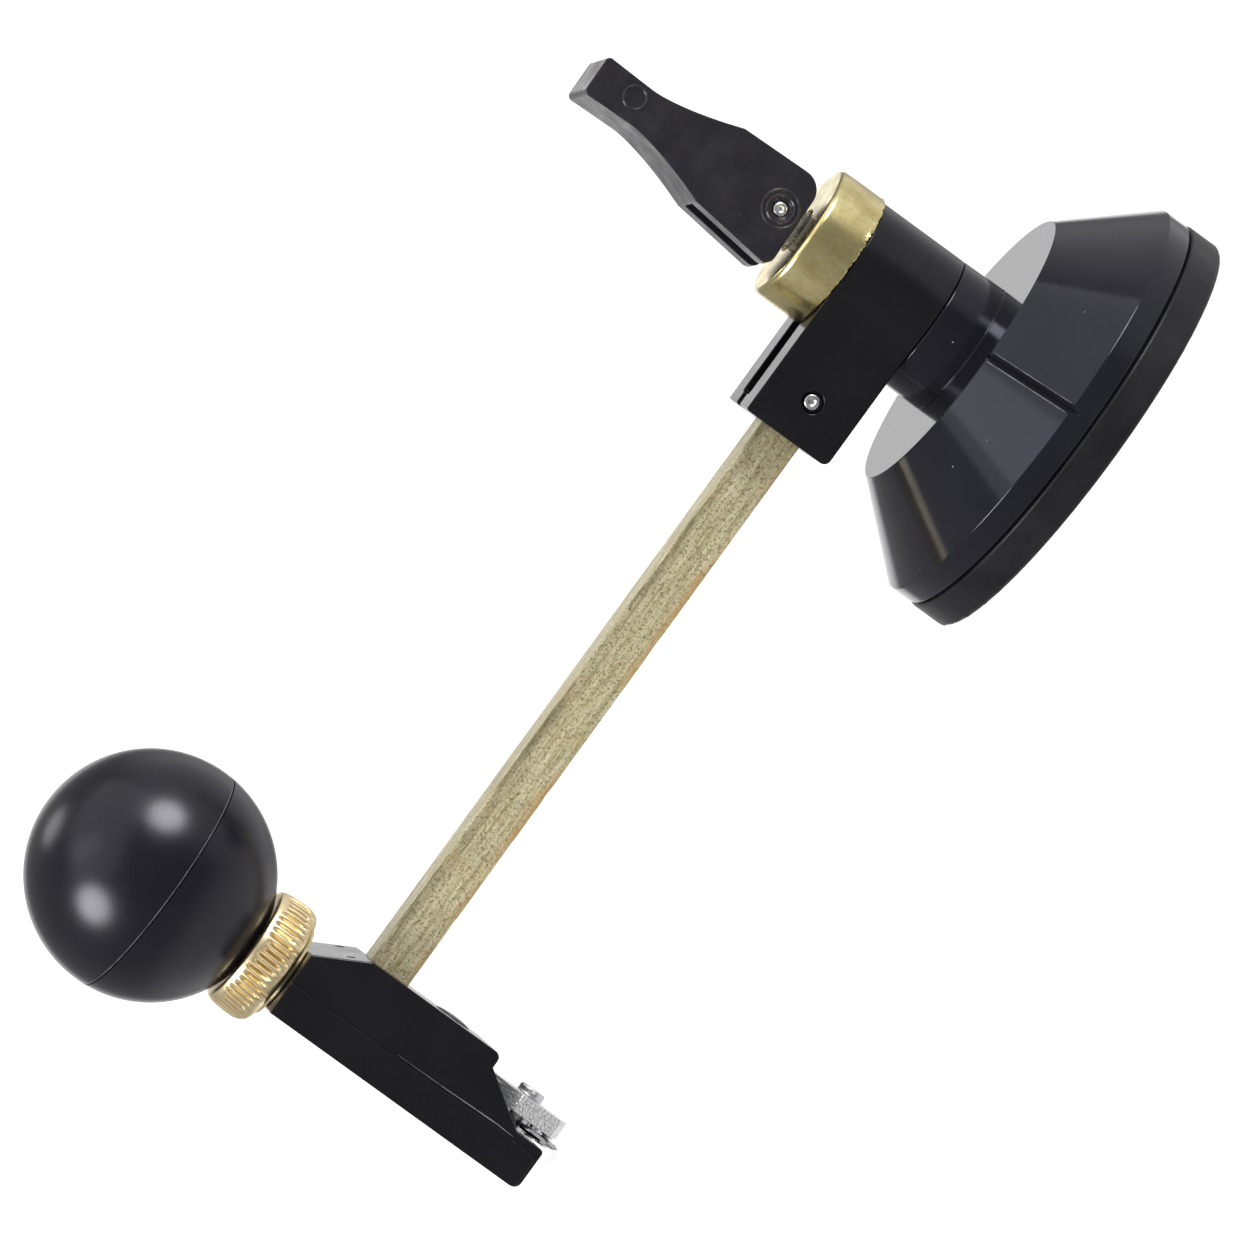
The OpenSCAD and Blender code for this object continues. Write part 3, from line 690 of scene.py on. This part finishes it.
def makeRod():
    # the drawn bar isn't dead straight along its faces: a few shallow knocks along the corners
    random.seed(14)
    knocks = [(random.uniform(-98, -24), random.choice((-1, 1)), random.uniform(0.6, 1.6))
              for _ in range(rod["dents"])]
    half, corner = rod["half"], rod["corner"]
    outline = roundOff([(-half, -half, corner), (half, -half, corner), (half, half, corner), (-half, half, corner)], 4)
    stations = 240
    mesh = bmesh.new()
    rings = []
    for i in range(stations + 1):
        x = rod["start"] + (rod["end"] - rod["start"]) * i / stations
        ring = []
        for y, z in outline:
            depth = 0.0
            if abs(y) > 2.2 and abs(z) > 2.2:
                depth = 0.03 * noise.noise(Vector((x * 0.9, y, z)))
                for spot, side, size in knocks:
                    if y < 0 and z * side > 0:
                        depth -= 0.05 * math.exp(-((x - spot) / size) ** 2)
            scale = 1 + min(depth, 0) / half
            ring.append(mesh.verts.new((x * mm, y * scale * mm, (rodHeight + z * scale) * mm)))
        rings.append(ring)
    for i in range(stations):
        for k in range(len(outline)):
            n = (k + 1) % len(outline)
            mesh.faces.new([rings[i][k], rings[i][n], rings[i + 1][n], rings[i + 1][k]])
    mesh.faces.new(rings[0])
    mesh.faces.new(rings[-1])
    bmesh.ops.recalc_face_normals(mesh, faces=mesh.faces)
    place(makePiece("squareRod", mesh), rodBrass, "swivel", "rod_brass", ["rod"])


makeRod()
print("rod made")


# lever

lever = dict(length=29.9, half=4.5, slot=1.8, pinUp=2.7, toe=5.5, toeRound=2.5, heel=6.4, heelRound=1.2,
             shoulderUp=11.6, shoulder=10.5, waistUp=23.0, waist=4.9, tip=5.3, edge=0.14, forkTop=8.6,
             pinBore=0.95, recess=1.25, recessDepth=0.25, pin=0.9, pinLength=8.8,
             rings=((0.45, 21.8, 1.4, 0.17, 0.11), (0, 0, 1.66, 0.17, 0.12), (0, 0, 2.3, 0.17, 0.10)))
leverPlace = Matrix.Translation((0, 0, pinHeight * mm)) @ Matrix.Rotation(math.radians(leverTurn), 4, "Z")


def leverHalf(up):
    v = lever
    if up < v["waistUp"]:
        share = (v["waistUp"] - up) / (v["waistUp"] - v["shoulderUp"])
        return v["waist"] / 2 + (v["shoulder"] - v["waist"]) / 2 * share ** 1.5
    return v["waist"] / 2 + (v["tip"] - v["waist"]) / 2 * (up - v["waistUp"]) / (v["length"] - v["waistUp"])


def leverOutline():
    v = lever
    steps = 22
    ups = [v["shoulderUp"] + (v["length"] - 1.2 - v["shoulderUp"]) * i / steps for i in range(steps + 1)]
    side = [(leverHalf(u), u - v["pinUp"]) for u in ups]
    top = v["length"] - v["pinUp"]
    # the shoulder is eased, so its first point gives way to a short curve
    ease = roundOff([(v["toe"], -1.0, 0), (side[0][0], side[0][1], 1.6), (side[3][0], side[3][1], 0)], 4)[1:-1]
    foot = arcPoints(v["toe"] - v["toeRound"], v["toeRound"] - v["pinUp"], v["toeRound"], -90, 0, 10)
    easeBack = roundOff([(-side[3][0], side[3][1], 0), (-side[0][0], side[0][1], 1.6),
                         (-v["heel"], -1.0, 0)], 4)[1:-1]
    heel = arcPoints(v["heelRound"] - v["heel"], v["heelRound"] - v["pinUp"], v["heelRound"], 180, 270, 7)
    tipCurve = roundOff([(side[-1][0], side[-1][1] - 1, 0), (v["tip"] / 2, top, 0.55), (-v["tip"] / 2, top, 0.7),
                         (-side[-1][0], side[-1][1] - 1, 0)], 6)[1:-1]
    back = [(-x, z) for x, z in reversed(side[3:-1])]
    return foot + ease + side[3:-1] + tipCurve + back + easeBack + heel


def makeLever():
    v = lever
    piece = makePiece("lever", extrude(leverOutline(), -v["half"], v["half"], "y"))
    cutters = [
        extrude(boxOutline(-20, 20, -6, v["forkTop"], 0.3), -v["slot"], v["slot"], "y"),
        alongY(bore(v["pinBore"], -12, 12, 40), 0, 0),
        alongY(bore(v["recess"], v["half"] - v["recessDepth"], 9, 48), 0, 0),
        alongY(bore(v["recess"], -9, v["recessDepth"] - v["half"], 48), 0, 0)]
    combine(piece, cutters)
    soften(piece, v["edge"], 4, 34)
    piece.data.transform(leverPlace)
    place(piece, leverPlastic, "lever", "lever_plastic", ["lever"], sharp=24)
    # moulded rings stand a hair proud on both cheeks
    for side in (-1, 1):
        for k, (x, z, radius, width, high) in enumerate(v["rings"]):
            ring = spin([(radius - width, -0.2), (radius + width, -0.2), (radius + width, 0.005),
                         (radius + 0.03, high), (radius - 0.03, high), (radius - width, 0.005)], 72)
            alongY(ring, 0, 0)
            if side > 0:
                moved(ring, Matrix.Rotation(math.pi, 4, "Z"))
            moved(ring, leverPlace @ Matrix.Translation((x * mm, side * v["half"] * mm, z * mm)))
            name = f"leverRing{k + 1}{'Front' if side < 0 else 'Back'}"
            place(makePiece(name, ring), leverPlastic, "lever", "lever_plastic", sharp=24, weighted=False)
    pin = alongY(pinMesh(v["pin"], v["pinLength"], 0.12), 0, 0)
    place(makePiece("leverPin", moved(pin, leverPlace)), platedSteel, "stem", "steel", ["lever_pin"], sharp=50,
          weighted=False)


makeLever()
print("lever made")


# cutter head

head = dict(out=-111.0, inner=-99.1, top=39.2, foot=2.9, wall=-105.4, half=8.25, band=0.25, bandX=-105.8,
            bandSlope=0.8, bandFoot=0.4, slopeUp=6.5, slopeIn=3.5, step=13.75, stepIn=1.8,
            cheek=1.5, edge=0.22, stripEdge=0.1, sunk=1.0,
            rodHole=2.83, studBore=2.45, insertBore=3.5, insertFloor=33.55, screwBore=1.2, padHeight=19.8)


def makeHighlightLine(name, points, widths, low, high):
    # a thin ridge of light plastic along an edge, a painted highlight: the points lie in XZ, the widths go with them
    left = [(x - w / 2, z) for (x, z), w in zip(points, widths)]
    right = [(x + w / 2, z) for (x, z), w in zip(points, widths)]
    piece = makePiece(name, extrude(left + right[::-1], low, high, "y"))
    place(piece, paintedHighlightPlastic, "head", "head_plastic", weighted=False)


def makeHead():
    h = head
    outline = roundOff([(h["out"], h["top"], 0.35), (h["out"], h["foot"], 1.0), (h["wall"], h["foot"], 0.5),
                        (h["wall"], turretHeight, 0.6), (h["inner"] - h["stepIn"], h["step"], 0.25),
                        (h["inner"], h["step"], 0.9), (h["inner"], h["top"] - h["slopeUp"], 0.5),
                        (h["inner"] - h["slopeIn"], h["top"], 0.4)], 5)
    piece = soften(makePiece("head", extrude(outline, -h["half"], h["half"], "y")), h["edge"], 3, 34)
    # the thicker strip beside the outer face ends in a slanting edge near the foot
    strip = roundOff([(h["out"], h["top"], 0), (h["out"], h["foot"] + h["bandFoot"], 0.8),
                      (h["bandX"] - 0.2, h["foot"] + h["bandFoot"], 0.4), (h["bandX"] + 0.25, 9.0, 3.0),
                      (h["bandX"], 17.0, 3.0), (h["bandX"] - 0.1, h["top"], 0)])
    outside = h["half"] + h["band"]
    for side in (-1, 1):
        ends = sorted((side * (h["half"] - h["sunk"]), side * outside))
        wedge = extrude(strip, ends[0], ends[1], "y")
        for vertex in wedge.verts:
            if abs(vertex.co.y) > h["half"] * mm and vertex.co.x > (h["bandX"] - 0.7) * mm:
                vertex.co.x -= h["bandSlope"] * mm
        combine(piece, [softened(wedge, h["stripEdge"])], "UNION")
    inside = outside - h["cheek"]
    notches = [extrude(boxOutline(-100.6, -99.6, 34.25, 35.15), y - 0.6, y + 0.6, "y") for y in (-5.0, 6.3)]
    combine(piece, [
        extrude(boxOutline(h["wall"], -80, -5, h["step"]), -inside, inside, "y"),
        extrude(boxOutline(-h["rodHole"], h["rodHole"], rodHeight - h["rodHole"], rodHeight + h["rodHole"], 0.2),
                -120, -90, "x"),
        underKnob(bore(h["studBore"], rodHeight, 60, 56)),
        underKnob(bore(h["insertBore"], h["insertFloor"], 60, 48)),
        alongX(bore(h["screwBore"], screwStart - h["wall"], 3, 32), h["wall"], turretHeight),
    ] + notches)
    mergeClose(piece, 0.005)
    place(piece, headPlastic, "head", "head_plastic", ["head_body"])
    # light lines down both sides near the strip's slanting edge: painted highlights
    line = [(h["bandX"] - back, z) for back, z in ((0.32, 7.0), (0.2, 9.5), (0.27, 13.0), (0.37, 17.0), (0.42, 24.0))]
    widths = [0.06, 0.14, 0.14, 0.08, 0.02]
    for name, low, high in (("headLineFront", -h["half"] - 0.06, 0.1 - h["half"]),
                            ("headLineBack", h["half"] - 0.1, h["half"] + 0.06)):
        makeHighlightLine(name, line, widths, low, high)
    # a low moulded dome on the rod's side
    curve = [(2.4 * x, 0.38 * z) for x, z in arcPoints(0, 0, 1, 0, 84, 14)]
    pad = spin([(0, -0.3), (2.4, -0.3)] + curve + [(0, 0.38)], 64)
    place(makePiece("headPad", alongX(pad, h["inner"], h["padHeight"])), headPlastic, "head", "head_plastic")


makeHead()
print("head made")


# ball

ball = dict(radius=15.0, centre=59.0, seamDrop=1.2, seamHalf=0.10, seamDepth=0.22, flat=3.4, bore=2.42,
            lipGap=0.13, lipHigh=0.07, lipOut=0.02)


def makeBall():
    # two moulded halves that meet in a fine seam round the middle
    b = ball
    low = math.asin(b["flat"] / b["radius"]) - math.pi / 2
    angles = [low + (math.pi / 2 - low) * k / 120 for k in range(121)]
    seam, at = b["seamHalf"] / b["radius"], -math.asin(b["seamDrop"] / b["radius"])
    beside = [at + seam * k for k in (-1.6, -1, -0.6, 0.6, 1, 1.6)]
    angles = sorted([a for a in angles if abs(a - at) > seam * 2] + beside)
    outline = []
    for a in angles:
        sunk = b["seamDepth"] if abs(a - at) < seam * 0.7 else 0.0
        outline.append(((b["radius"] - sunk) * math.cos(a), b["centre"] + (b["radius"] - sunk) * math.sin(a)))
    outline[-1] = (0, outline[-1][1])
    floor = outline[0][1]
    outline += [(0, floor + 10.7), (b["bore"], floor + 10.7), (b["bore"], floor + 0.15), (b["bore"] + 0.15, floor)]

    def shift(radius, angle, height):
        # the upper half sits a hair off the lower one
        lip = 0.02 * (0.5 + noise.noise(Vector((math.cos(angle) * 2, math.sin(angle) * 2, 1.0))))
        return (radius - lip if height > b["centre"] - b["seamDrop"] else radius), angle, height

    mesh = underKnob(spin(outline, 192, shift))
    place(makePiece("ballHandle", mesh), ballPlastic, "knob", "ball_plastic", ["ball_knob"], sharp=25,
          weighted=False)
    # the upper half's lip beside the seam is a thin light plastic ridge, a painted highlight
    start = b["centre"] - b["seamDrop"] + b["lipGap"]
    out = math.sqrt(b["radius"] ** 2 - (b["seamDrop"] - b["lipGap"]) ** 2)
    ridge = [(out - 0.2, start), (out + b["lipOut"], start), (out + b["lipOut"], start + b["lipHigh"]),
             (out - 0.2, start + b["lipHigh"])]
    place(makePiece("ballSeamLip", underKnob(spin(ridge, 192))), paintedHighlightPlastic, "knob", "ball_plastic", weighted=False)


makeBall()
print("ball made")


# lock nut

nut = dict(radius=7.9, foot=5.95, low=39.3, flange=39.85, high=45.2, knurls=54, depth=0.6, bore=2.45, dish=6.9, seed=6)


def makeNut():
    n = nut
    random.seed(n["seed"])
    cuts = [(random.uniform(0.7, 1.15), random.uniform(-0.5, 0.5), random.uniform(-0.3, 0.3))
            for _ in range(n["knurls"])]
    bandLow, bandHigh = n["flange"] + 0.7, n["high"] - 0.75

    def knurl(radius, angle, height):
        if radius < n["radius"] - 1.0 or height < n["flange"] + 0.4:
            return radius, angle, height
        turn = angle / (2 * math.pi) * n["knurls"] - 0.3 * (height - n["low"]) / 6
        strength, low, high = cuts[int(math.floor(turn)) % n["knurls"]]
        rise = min((height - bandLow - low) / 1.7, (bandHigh + high - height) / 0.7)
        inBand = math.sin(math.pi / 2 * max(0.0, min(1.0, rise))) ** 1.5
        across = 0.5 - 0.5 * math.cos(2 * math.pi * (turn - math.floor(turn)))
        return radius - n["depth"] * strength * inBand * across ** 2, angle, height

    # the side is a slight barrel between its two rounded edges
    bottom, top = n["flange"] + 1.4, n["high"] - 0.5
    levels = [bottom + (top - bottom) * k / 20 for k in range(21)]
    side = [(n["radius"] - 0.28 * ((z - 42.0) / 2.9) ** 2, z) for z in levels]
    under = roundOff([(n["foot"], n["flange"], 0), (n["radius"] - 0.4, n["flange"], 1.25),
                      (side[0][0], side[0][1] + 0.1, 0)], 9)[1:-1]
    over = roundOff([(side[-1][0], side[-1][1] - 0.2, 0), (n["radius"] - 0.45, n["high"], 0.38),
                     (n["dish"], n["high"], 0.12), (n["bore"], n["high"] - 1.65, 0)], 6)[1:]
    outline = [(n["bore"], n["low"]), (n["foot"] - 0.05, n["low"]), (n["foot"], n["low"] + 0.1),
               (n["foot"], n["flange"])] + under + side + over
    place(makePiece("lockNut", underKnob(spin(outline, n["knurls"] * 12, knurl))), nutBrass, "lock_nut", "nut_brass",
          ["lock_nut"], sharp=50, weighted=False)


makeNut()
print("lock nut made")


# turret, its screw and its wheels

turret = dict(plate=-103.7, thick=2.3, radius=6.15, turn=15, edge=0.22, bore=1.25, ring=4.5, axle=0.5)
screw = dict(radius=1.2, head=1.7, headHigh=1.0, slotHalf=0.25, slotDeep=0.5, gap=0.1)
wheel = dict(count=6, plane=-104.55, bore=0.55, hub=0.95, hubHalf=0.4, flat=1.55, flatHalf=0.33, radius=2.1)


def wheelPlaces():
    # (y, z) of each wheel's axle; the first one is straight under the turret's axis
    for k in range(wheel["count"]):
        angle = math.radians(360 / wheel["count"] * k)
        yield turret["ring"] * math.sin(angle), turretHeight - turret["ring"] * math.cos(angle)


def makeTurret():
    t = turret
    corners = [(x, y, 0.35) for x, y in arcPoints(0, 0, t["radius"], 0, 300, 5)]
    # the outline is drawn in YZ; a corner of the plate starts under the axis and is turned from there
    plate = extrude(roundOff(corners, 3), t["plate"], t["plate"] + t["thick"], "x")
    turn = Matrix.Rotation(math.radians(90 + t["turn"]), 4, "X")
    piece = makePiece("turretPlate", moved(plate, Matrix.Translation((0, 0, turretHeight * mm)) @ turn))
    holes = [alongX(bore(t["bore"], -2, 5, 40), t["plate"], turretHeight)]
    for y, z in wheelPlaces():
        hole = alongX(bore(t["axle"], -2, 1.8, 24), t["plate"], z)
        holes.append(moved(hole, Matrix.Translation((0, y * mm, 0))))
    combine(piece, holes)
    soften(piece, t["edge"], 3, 34)
    place(piece, turretCasting, "turret", "cast_metal", ["turret"])


def makeTurretScrew():
    c = screw
    face = turret["plate"] + turret["thick"] + c["gap"]
    outline = roundOff([(0, screwStart, 0), (c["radius"], screwStart, 0.2), (c["radius"], face, 0.05),
                        (c["head"], face, 0.1), (c["head"], face + c["headHigh"], 0.3),
                        (0, face + c["headHigh"] + 0.05, 0)], 4)
    shank = spin([(r, x - screwStart) for r, x in outline], 48)
    piece = makePiece("turretScrew", alongX(shank, screwStart, turretHeight))
    slot = boxOutline(-3, 3, turretHeight - c["slotHalf"], turretHeight + c["slotHalf"])
    combine(piece, [extrude(slot, face + c["slotDeep"], face + 3, "x")])
    soften(piece, 0.06, 2, 40)
    place(piece, platedSteel, "head", "steel", ["turret_screw"])


def makeWheels():
    # a bevelled rim on a flat hub with a raised ring round the axle
    w = wheel
    half = [(w["bore"], w["hubHalf"], 0.05), (w["hub"], w["hubHalf"], 0.04), (w["hub"] + 0.07, w["flatHalf"], 0.04),
            (w["flat"], w["flatHalf"], 0.05)]
    outline = roundOff([(r, -x, e) for r, x, e in half] + [(w["radius"], 0, 0.03)] + half[::-1], 3)
    for k, (y, z) in enumerate(wheelPlaces()):
        mesh = moved(alongX(spin(outline, 64), w["plane"], z), Matrix.Translation((0, y * mm, 0)))
        place(makePiece(f"cuttingWheel{k + 1}", mesh), groundSteel, f"wheel_{k + 1}", "wheel_steel",
              [f"wheel_{k + 1}"], sharp=35, weighted=False)


makeTurret()
makeTurretScrew()
makeWheels()
print("turret made")


# CAD nodes that keep their shape

kept = {"foot_plate": platedSteel, "pull_stud": platedSteel, "thread_insert": nutBrass, "clamp_pad": nutBrass,
        "knob_stud": platedSteel, "turret_spacer": platedSteel, "wheel_axles": platedSteel}
for node, material in kept.items():
    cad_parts[node].data.materials.clear()
    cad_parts[node].data.materials.append(material)


# floor, lights, camera

studio = dict(lean=9.5, roll=54.0, distance=2.5, width=0.1465, centre=(-0.0495, 0.0, 0.0314),
              softboxAway=2.6, softboxSize=1.35, softboxPower=74.0, overheadSize=4.2, overheadPower=34.0,
              patchSize=0.95, patchPower=2.0, backSize=0.8, backPower=6.0, worldLevel=0.31,
              worldSlopes=(-0.12, 0.0, 0.03))
# each bright part of the walls: where it is, how far from there it is full and gone, in degrees, and its level
worldPatches = [((0.02, 1.0, 0.17), 8, 14, 1.25), ((-0.10, 1.0, -0.12), 17, 25, 1.25),
                ((0.97, 0.2, -0.12), 44, 66, 0.8), ((0.0, 0.1, -1.0), 40, 66, 1.0)]


def makeFloor():
    mesh = bmesh.new()
    size = 40.0
    corners = [(-size, -size), (size, -size), (size, size), (-size, size)]
    mesh.faces.new([mesh.verts.new((x, y, 0)) for x, y in corners])
    floor = makePiece("studioFloor", mesh)
    material, tree, shader, vector = newMaterial("paleFloor", 0.0, 0.2)
    cloud = scaledNoise(tree, vector, 9.0, 3.0)
    paper = mixColours(tree, cloud, (0.30, 0.30, 0.302), (0.32, 0.32, 0.322))
    tree.links.new(paper, shader.inputs["Base Color"])
    shader.inputs["Roughness"].default_value = 0.9
    shader.inputs["Emission Color"].default_value = (1.0, 1.0, 1.0, 1.0)
    shader.inputs["Emission Strength"].default_value = 0.82
    floor.data.materials.append(material)
    floor.visible_glossy = False      # the sheet is matt, so gloss shows the studio and not the sheet


def aim(thing, direction):
    thing.rotation_mode = "QUATERNION"
    thing.rotation_quaternion = Vector(direction).to_track_quat("-Z", "Y")


def addSoftbox(name, direction, distance, size, power, shape="DISK"):
    light = bpy.data.lights.new(name, "AREA")
    light.shape, light.size, light.energy = shape, size, power
    if shape == "RECTANGLE":
        light.size_y = size * 0.6
    lamp = bpy.data.objects.new(name, light)
    bpy.context.scene.collection.objects.link(lamp)
    way = Vector(direction).normalized()
    lamp.location = Vector(studio["centre"]) + way * distance
    aim(lamp, -way)


def makeWorld():
    # grey walls with bright parts behind, to the right and below; the camera itself sees plain white
    world = bpy.data.worlds.new("studio")
    bpy.context.scene.world = world
    world.use_nodes = True
    tree = world.node_tree
    background = tree.nodes["Background"]
    direction = tree.nodes.new("ShaderNodeTexCoord").outputs["Generated"]

    def patch(way, inner, outer, level):
        near = wire(tree, "ShaderNodeVectorMath", {0: direction, 1: Vector(way).normalized()}, operation="DOT_PRODUCT")
        return remap(tree, near.outputs["Value"], math.cos(math.radians(outer)), math.cos(math.radians(inner)),
                     0.0, level)

    slopes = wire(tree, "ShaderNodeVectorMath", {0: direction, 1: studio["worldSlopes"]}, operation="DOT_PRODUCT")
    shade = arithmetic(tree, "ADD", slopes.outputs["Value"], studio["worldLevel"])
    for settings in worldPatches:
        shade = arithmetic(tree, "MAXIMUM", shade, patch(*settings))
    seen = wire(tree, "ShaderNodeLightPath").outputs["Is Camera Ray"]
    tree.links.new(arithmetic(tree, "MAXIMUM", shade, seen), background.inputs["Strength"])
    background.inputs["Color"].default_value = (1.0, 1.0, 1.0, 1.0)


def makeCamera():
    lean, roll = math.radians(studio["lean"]), math.radians(studio["roll"])
    back = Vector((0, -math.cos(lean), math.sin(lean)))
    camera = bpy.data.objects.new("camera", bpy.data.cameras.new("camera"))
    bpy.context.scene.collection.objects.link(camera)
    camera.data.sensor_width = 36
    camera.data.lens = 36 * studio["distance"] / studio["width"]
    camera.location = Vector(studio["centre"]) + back * studio["distance"]
    camera.rotation_mode = "QUATERNION"
    camera.rotation_quaternion = (-back).to_track_quat("-Z", "Y") @ Matrix.Rotation(-roll, 3, "Z").to_quaternion()
    camera.data.clip_start, camera.data.clip_end = 0.1, 100
    bpy.context.scene.camera = camera


makeFloor()
for side, way in (("Right", (0.796, -0.467, 0.389)), ("Left", (-0.770, -0.436, 0.465))):
    addSoftbox("softbox" + side, way, studio["softboxAway"], studio["softboxSize"], studio["softboxPower"])
addSoftbox("softboxTop", (0.15, -0.25, 1.0), 2.4, studio["overheadSize"], studio["overheadPower"], "RECTANGLE")
addSoftbox("softboxBack", (-0.175, 0.562, 0.807), 2.4, studio["backSize"], studio["backPower"])
addSoftbox("softboxPatch", (-0.22, -0.28, 1.0), 2.2, studio["patchSize"], studio["patchPower"], "RECTANGLE")
makeWorld()
makeCamera()
bpy.context.scene.view_settings.view_transform = "Standard"
print("studio made")
